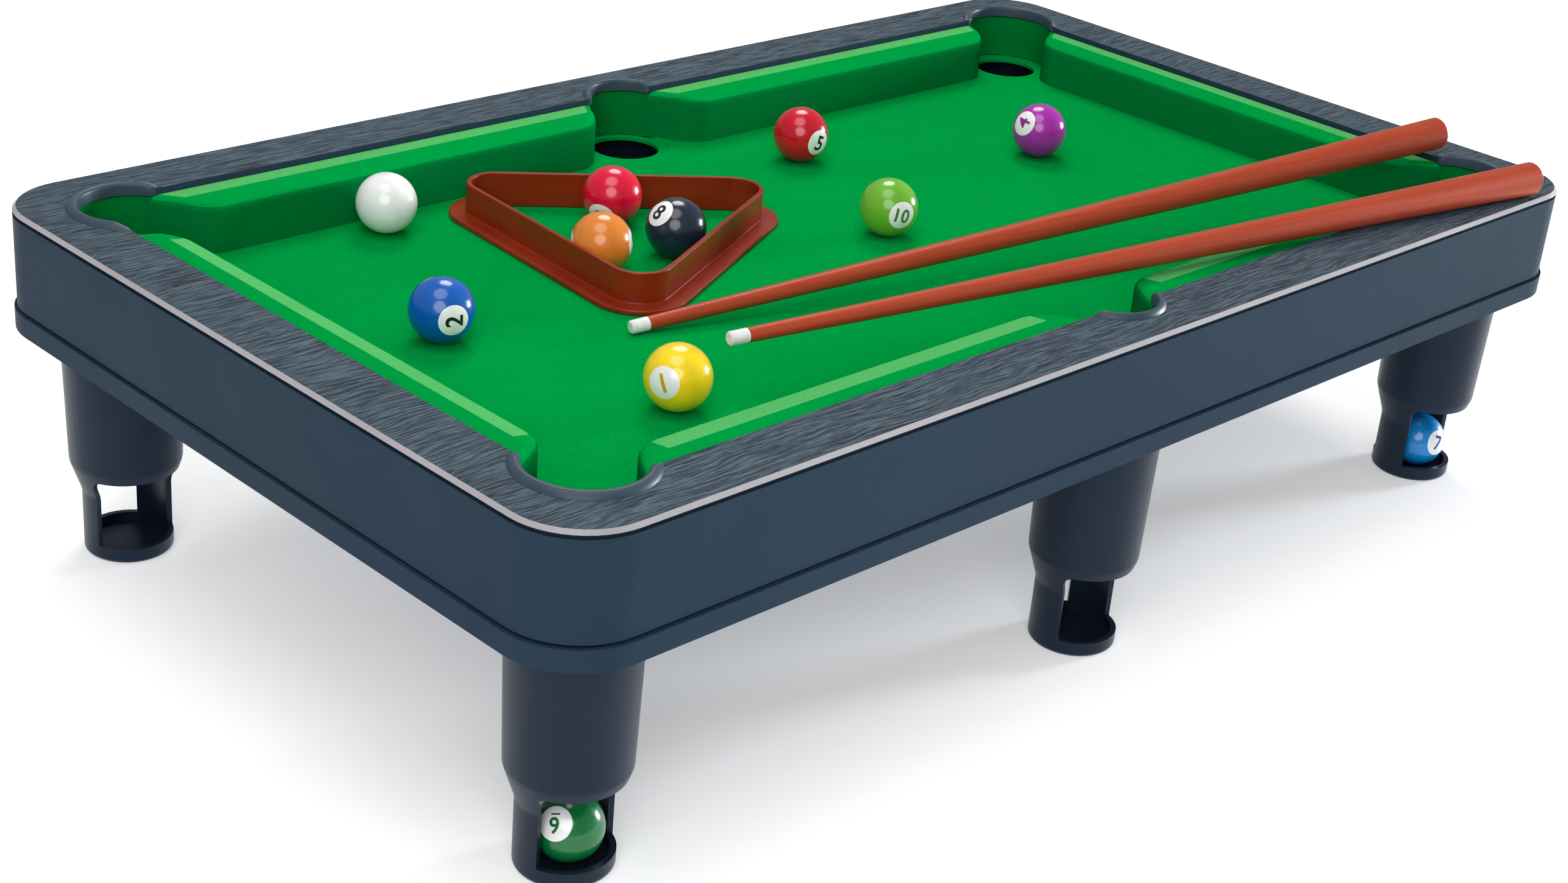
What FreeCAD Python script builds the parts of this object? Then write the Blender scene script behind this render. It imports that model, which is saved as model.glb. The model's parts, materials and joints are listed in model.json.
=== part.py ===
"""Mini pool table: case, bed, cushions, pockets, hollow legs, balls, rack and two cues.

Own frame in millimetres: X along the table, Y across it, Z up, with the origin on the
floor under the middle of the table.
"""
import FreeCAD
import Part
import math
import os
import Sketcher

V = FreeCAD.Vector

doc = FreeCAD.newDocument("MiniPoolTable")
sheet = doc.addObject("Spreadsheet::Sheet", "Sizes")

SIZES = {
    # case: heights are measured from the floor, lengths and widths are halves
    "rim_half_length": 189.4,
    "rim_half_width": 110.9,
    "rim_corner": 17.4,
    "rim_top": 94.0,
    "rim_plate": 2.2,
    "rim_bevel": 0.9,
    "reveal_foot": 92.1,
    "reveal_height": 0.9,
    "reveal_depth": 0.9,
    "reveal_reach": 5.0,
    "skirt_foot": 68.6,
    "skirt_wall": 2.0,
    "field_half_length": 173.0,
    "field_half_width": 94.3,
    "cover_foot": 62.6,
    "cover_plate": 1.8,
    "band_top": 67.9,
    "band_proud": 0.7,
    # screws that hold the base cover to the top frame
    "screw_long_x": 84.0,
    "screw_long_y": 107.4,
    "screw_short_x": 185.9,
    "screw_short_y": 30.0,
    "boss_radius": 3.0,
    "boss_foot": 64.6,
    "pilot_radius": 1.3,
    "pilot_depth": 14.0,
    "screw_radius": 1.2,
    "screw_length": 13.0,
    "screw_head_radius": 2.6,
    "screw_head_height": 1.6,
    "screw_edge": 0.7,
    "slot_half_length": 1.9,
    "slot_half_width": 0.35,
    "slot_depth": 0.8,
    # bed
    "bed_top": 79.0,
    "bed_thickness": 2.0,
    "bed_half_length": 181.0,
    "bed_half_width": 103.8,
    "bed_corner": 12.0,
    "seat_depth": 0.6,
    # pockets
    "corner_pocket_x": 164.6,
    "corner_pocket_y": 85.9,
    "middle_pocket_y": 90.5,
    "corner_mouth": 13.6,
    "middle_mouth": 11.4,
    "drop_hole": 9.8,
    "liner_wall": 1.2,
    "collar_overhang": 0.4,
    "collar_lip": 1.1,
    "corner_collar_width": 2.8,
    "middle_collar_width": 2.1,
    "collar_rise": 1.5,
    "collar_depth": 2.0,
    "collar_outer_round": 1.2,
    "collar_inner_round": 0.5,
    "small_gap": 0.05,
    # cushions: heights are measured from the bed
    "long_cushion_half": 72.2,
    "long_cushion_depth": 13.5,
    "long_cushion_sweep": 18.0,
    "short_cushion_half": 76.0,
    "short_cushion_depth": 12.2,
    "short_cushion_sweep": 16.3,
    "cushion_tail": 5.0,
    "cushion_tail_top": 12.75,
    "cushion_setback": 4.6,
    "nose_top": 12.8,
    "nose_round": 1.0,
    "ridge_top": 13.8,
    "ridge_from_rim": 6.2,
    "cushion_back_top": 13.4,
    "rim_slit": 0.3,
    # legs
    "corner_leg_x": 167.4,
    "corner_leg_y": 88.7,
    "middle_leg_y": 93.0,
    "leg_top": 76.9,
    "leg_collar_foot": 62.6,
    "leg_top_radius": 15.1,
    "leg_shoulder_radius": 14.2,
    "leg_shoulder_top": 26.0,
    "leg_shoulder_foot": 17.5,
    "leg_foot_radius": 11.3,
    "leg_wall": 1.4,
    "leg_floor": 1.6,
    "leg_foot_round": 1.4,
    "leg_shoulder_round": 5.0,
    "lip_top": 4.2,
    "window_top": 23.6,
    "front_window_near_x": 8.08,
    "front_window_near_y": 2.63,
    "front_window_far_x": 28.68,
    "front_window_far_y": 9.32,
    "back_window_near_x": 5.8,
    "back_window_near_y": 6.22,
    "back_window_far_x": 20.6,
    "back_window_far_y": 22.1,
    "window_round": 3.2,
    "socket_wall": 1.4,
    "socket_fit": 0.1,
    "socket_top": 76.95,
    # loose pieces
    "ball_radius": 8.0,
    "potted_ball_shift": 1.1,
    "rack_reach": 36.5,
    "rack_corner": 8.5,
    "rack_wall": 1.3,
    "rack_height": 9.6,
    "rack_flange": 4.5,
    "rack_flange_height": 1.4,
    "rack_x": -52.0,
    "rack_y": 31.7,
    "rack_turn": -4.7,
    "cue_length": 271.0,
    "cue_tip_radius": 1.7,
    "cue_butt_radius": 4.7,
    "cue_tip_length": 1.3,
    "cue_tip_dome": 0.6,
    "ferrule_length": 3.6,
    "butt_round": 0.3,
}

for row, (alias, value) in enumerate(SIZES.items(), start=1):
    sheet.set(f"A{row}", alias)
    sheet.set(f"B{row}", str(value))
    sheet.setAlias(f"B{row}", alias)
doc.recompute()


# ---------------------------------------------------------------- formulas and sketches
def number(formula):
    """Value in millimetres of sheet names and plain numbers joined by + and -."""
    total = 0.0
    sign = 1.0
    for word in formula.split():
        if word in "+-":
            sign = 1.0 if word == "+" else -1.0
        else:
            total += sign * (SIZES[word] if word in SIZES else float(word))
    return total


def bound(formula):
    """The same formula as a FreeCAD expression on the sheet."""
    words = [f"Sizes.{word}" if word in SIZES else word for word in formula.split()]
    return " ".join(words)


def less(formula, taken):
    """One formula minus another."""
    flipped = {"+": "-", "-": "+"}
    words = [flipped.get(word, word) for word in taken.split()]
    joiner = "" if words[0] in "+-" else "- "
    return f"{formula} {joiner}{' '.join(words)}"


def drive(target, formula, *properties):
    """Bind properties of an object to one formula."""
    for name in properties:
        target.setExpression(name, bound(formula))


def base_plane(body, role):
    return next(item for item in body.Origin.OriginFeatures if item.Role == role)


def new_body(label):
    body = doc.addObject("PartDesign::Body", label)
    body.Label = label
    return body


def new_sketch(body, name, role="XY_Plane", lift=None):
    """A sketch on a base plane of its body, lifted along the plane's normal."""
    sketch = body.newObject("Sketcher::SketchObject", name)
    sketch.AttachmentSupport = (base_plane(body, role), [""])
    sketch.MapMode = "FlatFace"
    if lift:
        drive(sketch, lift, "AttachmentOffset.Base.z")
    return sketch


def fix_point(sketch, geometry, point, x_formula, y_formula):
    """Hold one end of a sketch line at a place given by two formulas."""
    for axis, formula in (("DistanceX", x_formula), ("DistanceY", y_formula)):
        if formula == "0":
            on_axis = -2 if axis == "DistanceX" else -1
            sketch.addConstraint(Sketcher.Constraint("PointOnObject", geometry, point, on_axis))
            continue
        place = Sketcher.Constraint(axis, -1, 1, geometry, point, number(formula))
        index = sketch.addConstraint(place)
        drive(sketch, formula, f"Constraints[{index}]")


def polygon(sketch, corners):
    """A closed outline of straight lines through corners given by formulas."""
    spots = [V(number(x), number(y), 0) for x, y in corners]
    count = len(spots)
    for index in range(count):
        line = Part.LineSegment(spots[index], spots[(index + 1) % count])
        sketch.addGeometry(line)
    for index in range(count):
        link = Sketcher.Constraint("Coincident", index, 2, (index + 1) % count, 1)
        sketch.addConstraint(link)
    for index, (x_formula, y_formula) in enumerate(corners):
        fix_point(sketch, index, 1, x_formula, y_formula)


def rounded_outline(sketch, spots, centres, radius):
    """Arcs of one radius around centres, joined by tangent lines; sizes are bound after."""
    first = sketch.GeometryCount
    count = len(centres)
    middle = V(0, 0, 0)
    for index in range(count):
        start, end = spots[index]
        sketch.addGeometry(Part.LineSegment(start, end))
    for index in range(count):
        start = spots[index][1]
        end = spots[(index + 1) % count][0]
        outward = (centres[index] - middle).normalize() * number(radius)
        sketch.addGeometry(Part.Arc(start, centres[index] + outward, end))
    for index in range(count):
        line = first + index
        arc = first + count + index
        following = first + (index + 1) % count
        sketch.addConstraint(Sketcher.Constraint("Tangent", line, 2, arc, 1))
        sketch.addConstraint(Sketcher.Constraint("Tangent", arc, 2, following, 1))
        if index:
            sketch.addConstraint(Sketcher.Constraint("Equal", first + count, arc))
    bend = Sketcher.Constraint("Radius", first + count, number(radius))
    drive(sketch, radius, f"Constraints[{sketch.addConstraint(bend)}]")
    return first + count


def rounded_rectangle(sketch, half_length, half_width, corner):
    """A centred rectangle with rounded corners, from formulas of its half sizes."""
    half_x = number(half_length)
    half_y = number(half_width)
    bend = number(corner)
    inner_x = half_x - bend
    inner_y = half_y - bend
    spots = [
        (V(-inner_x, -half_y, 0), V(inner_x, -half_y, 0)),
        (V(half_x, -inner_y, 0), V(half_x, inner_y, 0)),
        (V(inner_x, half_y, 0), V(-inner_x, half_y, 0)),
        (V(-half_x, inner_y, 0), V(-half_x, -inner_y, 0)),
    ]
    centres = [
        V(inner_x, -inner_y, 0),
        V(inner_x, inner_y, 0),
        V(-inner_x, inner_y, 0),
        V(-inner_x, -inner_y, 0),
    ]
    first_arc = rounded_outline(sketch, spots, centres, corner)
    fix_point(sketch, first_arc + 1, 3, less(half_length, corner), less(half_width, corner))
    opposite = Sketcher.Constraint("Symmetric", first_arc + 1, 3, first_arc + 3, 3, -1, 1)
    sketch.addConstraint(opposite)
    sketch.addConstraint(Sketcher.Constraint("Horizontal", first_arc - 4))
    sketch.addConstraint(Sketcher.Constraint("Vertical", first_arc - 3))


def rounded_triangle(sketch, reach, corner):
    """A centred equilateral triangle with rounded corners, one of them on +X."""
    bend = number(corner)
    angles = [math.radians(angle) for angle in (0, 120, 240)]
    centres = [V(math.cos(angle), math.sin(angle), 0) * number(reach) for angle in angles]
    sides = [angle - math.pi / 3 for angle in angles]
    normals = [V(math.cos(angle), math.sin(angle), 0) * bend for angle in sides]
    spots = []
    for index in range(3):
        start = centres[index - 1] + normals[index]
        end = centres[index] + normals[index]
        spots.append((start, end))
    first_arc = rounded_outline(sketch, spots, centres, corner)
    fix_point(sketch, first_arc, 3, reach, "0")
    for index, turn in ((1, 120), (2, 240)):
        for axis, wave in (("DistanceX", math.cos), ("DistanceY", math.sin)):
            share = wave(math.radians(turn))
            place = Sketcher.Constraint(axis, -1, 1, first_arc + index, 3, share * number(reach))
            held = sketch.addConstraint(place)
            function = "cos" if axis == "DistanceX" else "sin"
            sketch.setExpression(f"Constraints[{held}]", f"Sizes.{reach} * {function}({turn} deg)")


def circles(sketch, places, radius):
    """Circles of one radius at places given by pairs of formulas."""
    for x_formula, y_formula in places:
        centre = V(number(x_formula), number(y_formula), 0)
        index = sketch.addGeometry(Part.Circle(centre, V(0, 0, 1), number(radius)))
        fix_point(sketch, index, 3, x_formula, y_formula)
        bend = sketch.addConstraint(Sketcher.Constraint("Radius", index, number(radius)))
        drive(sketch, radius, f"Constraints[{bend}]")


# ---------------------------------------------------------------- features
def pad(body, sketch, formula, name):
    feature = body.newObject("PartDesign::Pad", name)
    feature.Profile = sketch
    drive(feature, formula, "Length")
    doc.recompute()


def pocket(body, sketch, formula, name):
    """Cut a sketch out of the body upwards, and stop if it removes nothing."""
    before = body.Shape.Volume
    feature = body.newObject("PartDesign::Pocket", name)
    feature.Profile = sketch
    feature.Reversed = True
    drive(feature, formula, "Length")
    doc.recompute()
    if body.Shape.Volume > before - 0.01:
        raise RuntimeError(f"{body.Label}: {name} cuts nothing")
    return feature


def revolve(body, sketch, name):
    feature = body.newObject("PartDesign::Revolution", name)
    feature.Profile = sketch
    feature.ReferenceAxis = (sketch, ["V_Axis"])
    feature.Angle = 360
    doc.recompute()


def mirrored(body, original, role, name):
    feature = body.newObject("PartDesign::Mirrored", name)
    feature.Originals = [original]
    feature.MirrorPlane = (base_plane(body, role), [""])
    body.Tip = feature
    doc.recompute()


def dress(body, kind, name, size_property, formula, chosen):
    """A fillet or chamfer on the edges that the test picks."""
    base = body.Tip
    edges = [f"Edge{n}" for n, edge in enumerate(base.Shape.Edges, start=1) if chosen(edge)]
    feature = body.newObject(f"PartDesign::{kind}", name)
    feature.Base = (base, edges)
    drive(feature, formula, size_property)
    doc.recompute()


def at_height(edge, height):
    """True for an edge that lies level at one height."""
    return all(abs(vertex.Z - height) < 0.01 for vertex in edge.Vertexes)


def four_corners(x_name, y_name):
    """The four mirror images of one place, as formulas."""
    return [(f"{'- ' if sx < 0 else ''}{x_name}", f"{'- ' if sy < 0 else ''}{y_name}")
            for sx in (1, -1) for sy in (1, -1)]


CORNER_POCKETS = four_corners("corner_pocket_x", "corner_pocket_y")
MIDDLE_POCKETS = [("0", "middle_pocket_y"), ("0", "- middle_pocket_y")]
CORNER_LEGS = four_corners("corner_leg_x", "corner_leg_y")
MIDDLE_LEGS = [("0", "middle_leg_y"), ("0", "- middle_leg_y")]
SCREW_PLACES = four_corners("screw_long_x", "screw_long_y") + four_corners("screw_short_x", "screw_short_y")

nodes = {}


def keep(label, item, place=None, turn=0.0):
    """Name a finished sub-part and put it in its place, turned about +Z."""
    item.Label = label
    if place is not None:
        item.Placement = FreeCAD.Placement(place, FreeCAD.Rotation(V(0, 0, 1), turn))
    nodes[label] = item


# ---------------------------------------------------------------- top frame
def make_top_frame():
    """Moulded rim and skirt in one shell, open below, with bosses for the case screws."""
    body = new_body("top_frame")
    outer = new_sketch(body, "skirt_outline", lift="skirt_foot")
    rounded_rectangle(outer, "rim_half_length + rim_bevel", "rim_half_width + rim_bevel",
                      "rim_corner + rim_bevel")
    pad(body, outer, "rim_top - skirt_foot", "skirt_block")
    dress(body, "Chamfer", "rim_edge", "Size", "rim_bevel",
          lambda edge: at_height(edge, number("rim_top")))

    reveal = new_sketch(body, "reveal_outline", lift="reveal_foot")
    rounded_rectangle(reveal, "rim_half_length + reveal_reach",
                      "rim_half_width + reveal_reach", "rim_corner + reveal_reach")
    rounded_rectangle(reveal, "rim_half_length + rim_bevel - reveal_depth",
                      "rim_half_width + rim_bevel - reveal_depth",
                      "rim_corner + rim_bevel - reveal_depth")
    pocket(body, reveal, "reveal_height", "reveal_groove")

    hollow = new_sketch(body, "hollow_outline", lift="skirt_foot")
    rounded_rectangle(hollow, "rim_half_length + rim_bevel - skirt_wall",
                      "rim_half_width + rim_bevel - skirt_wall",
                      "rim_corner + rim_bevel - skirt_wall")
    pocket(body, hollow, "rim_top - rim_plate - skirt_foot", "hollow")

    field = new_sketch(body, "field_outline", lift="skirt_foot")
    x, y = "field_half_length", "field_half_width"
    polygon(field, [(f"- {x}", f"- {y}"), (x, f"- {y}"), (x, y), (f"- {x}", y)])
    pocket(body, field, "rim_top - skirt_foot", "field_opening")
    for kind, places in (("corner", CORNER_POCKETS), ("middle", MIDDLE_POCKETS)):
        notch = new_sketch(body, f"{kind}_notches", lift="skirt_foot")
        circles(notch, places, f"{kind}_mouth - collar_overhang + collar_lip + small_gap")
        pocket(body, notch, "rim_top - skirt_foot", f"{kind}_openings")

    bosses = new_sketch(body, "boss_outline", lift="boss_foot")
    circles(bosses, SCREW_PLACES, "boss_radius")
    pad(body, bosses, "rim_top - rim_plate - boss_foot", "bosses")
    pilots = new_sketch(body, "pilot_outline", lift="boss_foot")
    circles(pilots, SCREW_PLACES, "pilot_radius")
    pocket(body, pilots, "pilot_depth", "pilot_holes")
    keep("top_frame", body)


# ---------------------------------------------------------------- base cover and its screws
def make_base_cover():
    """Underside cover: a plate with a proud band round its edge and six leg sockets."""
    body = new_body("base_cover")
    grown = "rim_bevel + band_proud"
    outer = new_sketch(body, "band_outline", lift="cover_foot")
    rounded_rectangle(outer, f"rim_half_length + {grown}", f"rim_half_width + {grown}",
                      f"rim_corner + {grown}")
    pad(body, outer, "band_top - cover_foot", "band_block")
    inner = new_sketch(body, "tray_outline", lift="cover_foot + cover_plate")
    rounded_rectangle(inner, f"rim_half_length + {grown} - skirt_wall",
                      f"rim_half_width + {grown} - skirt_wall",
                      f"rim_corner + {grown} - skirt_wall")
    pocket(body, inner, "band_top - cover_foot - cover_plate", "tray")

    legs = CORNER_LEGS + MIDDLE_LEGS
    sockets = new_sketch(body, "socket_outline", lift="cover_foot")
    circles(sockets, legs, "leg_top_radius + socket_fit + socket_wall")
    pad(body, sockets, "socket_top - cover_foot", "sockets")
    bores = new_sketch(body, "socket_bores", lift="cover_foot")
    circles(bores, legs, "leg_top_radius + socket_fit")
    pocket(body, bores, "socket_top - cover_foot", "leg_holes")
    holes = new_sketch(body, "screw_clearance", lift="cover_foot")
    circles(holes, SCREW_PLACES, "screw_radius + socket_fit + socket_fit")
    pocket(body, holes, "cover_plate", "screw_holes")
    keep("base_cover", body)


def make_case_screws():
    """Eight pan-head self-tapping screws, one node of separate solids."""
    body = new_body("case_screw")
    profile = new_sketch(body, "screw_profile", role="XZ_Plane")
    polygon(profile, [
        ("0", "- screw_head_height"),
        ("screw_head_radius - screw_edge", "- screw_head_height"),
        ("screw_head_radius", "- screw_edge"),
        ("screw_head_radius", "0"),
        ("screw_radius", "0"),
        ("screw_radius", "screw_length - screw_radius"),
        ("0", "screw_length"),
    ])
    revolve(body, profile, "screw_turned")
    slot = new_sketch(body, "slot_outline", lift="- screw_head_height")
    x, y = "slot_half_length", "slot_half_width"
    polygon(slot, [(f"- {x}", f"- {y}"), (x, f"- {y}"), (x, y), (f"- {x}", y)])
    pocket(body, slot, "slot_depth", "driver_slot")
    lift = number("cover_foot - small_gap")
    places = [V(number(x), number(y), lift) for x, y in SCREW_PLACES]
    screws = doc.addObject("Part::Feature", "case_screws")
    copies = []
    for place in places:
        copy = body.Shape.copy()
        copy.translate(place)
        copies.append(copy)
    screws.Shape = Part.makeCompound(copies)
    keep("case_screws", screws)


# ---------------------------------------------------------------- bed and cushions
def make_bed():
    """Flocked bed panel with six drop holes, each in a shallow round seat."""
    body = new_body("bed_panel")
    outline = new_sketch(body, "bed_outline", lift="bed_top - bed_thickness")
    rounded_rectangle(outline, "bed_half_length", "bed_half_width", "bed_corner")
    pad(body, outline, "bed_thickness", "panel")
    for kind, places in (("corner", CORNER_POCKETS), ("middle", MIDDLE_POCKETS)):
        seats = new_sketch(body, f"{kind}_seat_outline", lift="bed_top - seat_depth")
        circles(seats, places, f"{kind}_mouth + liner_wall + small_gap")
        pocket(body, seats, "seat_depth", f"{kind}_seats")
        holes = new_sketch(body, f"{kind}_hole_outline", lift="bed_top - bed_thickness")
        circles(holes, places, "drop_hole")
        pocket(body, holes, "bed_thickness", f"{kind}_holes")
    keep("bed_panel", body)


def make_cushion(label, kind, place, turn):
    """One flocked cushion strip; each end sweeps in one arc from the rim to the nose."""
    half, depth, sweep = f"{kind}_half", f"{kind}_depth", f"{kind}_sweep"
    body = new_body(label)
    section = new_sketch(body, "section", role="YZ_Plane", lift=f"- {half}")
    polygon(section, [
        ("0", "0"),
        ("0", "nose_top - nose_round"),
        ("nose_round", "nose_top"),
        (f"{depth} - ridge_from_rim", "ridge_top"),
        (f"{depth} - rim_slit", "cushion_back_top"),
        (f"{depth} - rim_slit", "cushion_tail_top"),
        (f"{depth} + cushion_tail", "cushion_tail_top"),
        (f"{depth} + cushion_tail", "0"),
    ])
    pad(body, section, f"{half} + {half}", "strip")

    end = new_sketch(body, "end_outline")
    corners = [
        (half, depth),
        (f"{half} - cushion_setback", depth),
        (f"{half} - cushion_setback", f"{depth} + cushion_tail + nose_round"),
        (f"{half} + cushion_setback", f"{depth} + cushion_tail + nose_round"),
        (f"{half} + cushion_setback", "- cushion_setback"),
        (f"{half} - {sweep}", "- cushion_setback"),
        (f"{half} - {sweep}", "0"),
    ]
    spots = [V(number(x), number(y), 0) for x, y in corners]
    for start, finish in zip(spots, spots[1:]):
        end.addGeometry(Part.LineSegment(start, finish))
    radius = (number(sweep) ** 2 + number(depth) ** 2) / (2 * number(depth))
    half_angle = math.asin(number(sweep) / radius) / 2
    bend = V(math.sin(half_angle), 1 - math.cos(half_angle), 0) * radius
    end.addGeometry(Part.Arc(spots[-1], spots[-1] + bend, spots[0]))
    last = len(spots) - 1
    for index in range(last - 1):
        end.addConstraint(Sketcher.Constraint("Coincident", index, 2, index + 1, 1))
    end.addConstraint(Sketcher.Constraint("Coincident", last - 1, 2, last, 1))
    end.addConstraint(Sketcher.Constraint("Coincident", last, 2, 0, 1))
    for index, (x_formula, y_formula) in enumerate(corners[:-1]):
        fix_point(end, index, 1, x_formula, y_formula)
    fix_point(end, last - 1, 2, *corners[-1])
    bow = end.addConstraint(Sketcher.Constraint("Radius", last, radius))
    end.setExpression(f"Constraints[{bow}]",
                      f"(Sizes.{sweep}^2 + Sizes.{depth}^2) / (2 * Sizes.{depth})")
    cut = pocket(body, end, "ridge_top + nose_round", "end_cut")
    mirrored(body, cut, "YZ_Plane", "other_end_cut")
    keep(label, body, place, turn)


def make_cushions():
    bed = number("bed_top")
    mouth_reach = math.sqrt(number("middle_mouth") ** 2
                            - number("field_half_width - middle_pocket_y") ** 2)
    along = number("long_cushion_half + small_gap") + mouth_reach
    nose_y = number("field_half_width - long_cushion_depth")
    nose_x = number("field_half_length - short_cushion_depth")
    for side, sign, turn in (("back", 1, 0), ("front", -1, 180)):
        for end, step in (("left", -1), ("right", 1)):
            make_cushion(f"cushion_{side}_{end}", "long_cushion",
                         V(step * along, sign * nose_y, bed), turn)
    for end, sign, turn in (("left", -1, 90), ("right", 1, -90)):
        make_cushion(f"cushion_end_{end}", "short_cushion", V(sign * nose_x, 0, bed), turn)


# ---------------------------------------------------------------- pocket liners and collars
def pocket_corner_cut(kind):
    """How far the rim's inner edges lie from the pocket's axis, in its own directions."""
    if kind == "corner":
        return "field_half_length - corner_pocket_x"
    return "field_half_width - middle_pocket_y"


def field_block(body, kind, foot, height, name):
    """Cut away the part of a pocket ring that stands over the field."""
    edge = f"{pocket_corner_cut(kind)} + small_gap"
    side = edge if kind == "corner" else "corner_mouth + corner_mouth"
    sketch = new_sketch(body, f"{name}_outline", lift=foot)
    far = "- corner_mouth - corner_mouth"
    polygon(sketch, [(far, far), (side, far), (side, edge), (far, edge)])
    pocket(body, sketch, height, name)


def make_pocket_ring(label, kind, place, turn):
    """The curved wall of a pocket, seated in the bed and reaching up under the rim."""
    body = new_body(label)
    ring = new_sketch(body, "ring_outline")
    circles(ring, [("0", "0")], f"{kind}_mouth + liner_wall")
    circles(ring, [("0", "0")], f"{kind}_mouth")
    height = "rim_top - rim_plate - small_gap - bed_top + seat_depth - small_gap"
    pad(body, ring, height, "ring")
    field_block(body, kind, "0", height, "open_side")
    lift = V(0, 0, number("bed_top - seat_depth + small_gap"))
    keep(label, body, place + lift, turn)


def make_collar(label, kind, place, turn):
    """Raised rib round a pocket mouth, with a lip that hangs in the rim's opening."""
    body = new_body(label)
    profile = new_sketch(body, "collar_profile", role="XZ_Plane")
    inner = f"{kind}_mouth - collar_overhang"
    outer = f"{inner} + {kind}_collar_width"
    lip = f"{inner} + collar_lip"
    polygon(profile, [
        (inner, "- collar_depth"),
        (lip, "- collar_depth"),
        (lip, "0"),
        (outer, "0"),
        (outer, "collar_rise"),
        (inner, "collar_rise"),
    ])
    revolve(body, profile, "collar_turned")
    top = number("collar_rise")
    for edge_name, reach, bend in (("outer_curve", outer, "collar_outer_round"),
                                   ("inner_curve", inner, "collar_inner_round")):
        radius = number(reach)
        dress(body, "Fillet", edge_name, "Radius", bend,
              lambda edge: edge.Closed and at_height(edge, top)
              and abs(edge.Curve.Radius - radius) < 0.01)
    field_block(body, kind, "- collar_depth", "collar_depth + collar_rise", "open_side")
    keep(label, body, place + V(0, 0, number("rim_top")), turn)


POCKET_NAMES = {
    "back_right": ("corner", 1, 1, 0),
    "back_left": ("corner", -1, 1, 90),
    "front_left": ("corner", -1, -1, 180),
    "front_right": ("corner", 1, -1, 270),
    "back_middle": ("middle", 0, 1, 0),
    "front_middle": ("middle", 0, -1, 180),
}


def make_pockets():
    for name, (kind, x_sign, y_sign, turn) in POCKET_NAMES.items():
        across = number("corner_pocket_y" if kind == "corner" else "middle_pocket_y")
        place = V(x_sign * number("corner_pocket_x"), y_sign * across, 0)
        make_pocket_ring(f"pocket_wall_{name}", kind, place, turn)
        make_collar(f"pocket_collar_{name}", kind, place, turn)


# ---------------------------------------------------------------- legs
def make_leg(label, place):
    """Hollow leg that is also a ball chute: a wide tube, a shoulder, a window and a cup."""
    body = new_body(label)
    profile = new_sketch(body, "leg_profile", role="XZ_Plane")
    polygon(profile, [
        ("0", "0"),
        ("leg_foot_radius", "0"),
        ("leg_foot_radius", "leg_shoulder_foot"),
        ("leg_shoulder_radius", "leg_shoulder_top"),
        ("leg_top_radius", "leg_collar_foot"),
        ("leg_top_radius", "leg_top"),
        ("leg_top_radius - leg_wall", "leg_top"),
        ("leg_top_radius - leg_wall", "leg_collar_foot"),
        ("leg_shoulder_radius - leg_wall", "leg_shoulder_top"),
        ("leg_foot_radius - leg_wall", "leg_shoulder_foot"),
        ("leg_foot_radius - leg_wall", "leg_floor"),
        ("0", "leg_floor"),
    ])
    revolve(body, profile, "leg_turned")
    shoulder = (number("leg_shoulder_top"), number("leg_shoulder_foot"))
    dress(body, "Fillet", "shoulder_curve", "Radius", "leg_shoulder_round",
          lambda edge: edge.Closed and any(at_height(edge, height) for height in shoulder))
    dress(body, "Fillet", "foot_curve", "Radius", "leg_foot_round",
          lambda edge: edge.Closed and at_height(edge, 0))

    for side, away in (("front", "- "), ("back", "")):
        window = new_sketch(body, f"{side}_window_outline", lift="lip_top")
        near_x, near_y = f"{side}_window_near_x", f"{away}{side}_window_near_y"
        far_x, far_y = f"{side}_window_far_x", f"{away}{side}_window_far_y"
        end = f"{away}leg_top_radius {away or '+ '}leg_top_radius"
        polygon(window, [(f"- {far_x}", end), (far_x, end), (far_x, far_y),
                         (near_x, near_y), (f"- {near_x}", near_y), (f"- {far_x}", far_y)])
        pocket(body, window, "window_top - lip_top", f"{side}_window")
    top = number("window_top")
    dress(body, "Fillet", "window_curve", "Radius", "window_round",
          lambda edge: len(edge.Vertexes) == 2 and at_height(edge, top)
          and edge.Length < 2 * number("leg_wall") and abs(edge.Vertexes[0].Y) > 1)
    keep(label, body, place)


def make_legs():
    for name, (kind, x_sign, y_sign, _) in POCKET_NAMES.items():
        across = number("corner_leg_y" if kind == "corner" else "middle_leg_y")
        make_leg(f"leg_{name}", V(x_sign * number("corner_leg_x"), y_sign * across, 0))


# ---------------------------------------------------------------- balls
BALL_PLACES = {
    "cue_ball": (-99.5, 71.0),
    "ball_1": (-109.5, -53.5),
    "ball_2": (-130.5, 6.5),
    "ball_3": (-70.2, 19.3),
    "ball_4": (102.0, 19.0),
    "ball_5": (35.5, 54.0),
    "ball_6": (-45.2, 44.2),
    "ball_8": (-46.8, 16.9),
    "ball_10": (13.5, -2.5),
}


def make_ball(label, place):
    ball = doc.addObject("Part::Sphere", label)
    drive(ball, "ball_radius", "Radius")
    keep(label, ball, place)


def make_balls():
    lift = number("bed_top + ball_radius + small_gap")
    for label, (x, y) in BALL_PLACES.items():
        make_ball(label, V(x, y, lift))
    across = -number("corner_leg_y + potted_ball_shift")
    cup = number("leg_floor + ball_radius + small_gap")
    make_ball("ball_9", V(-number("corner_leg_x"), across, cup))
    make_ball("ball_7", V(number("corner_leg_x"), across, cup))


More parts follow.
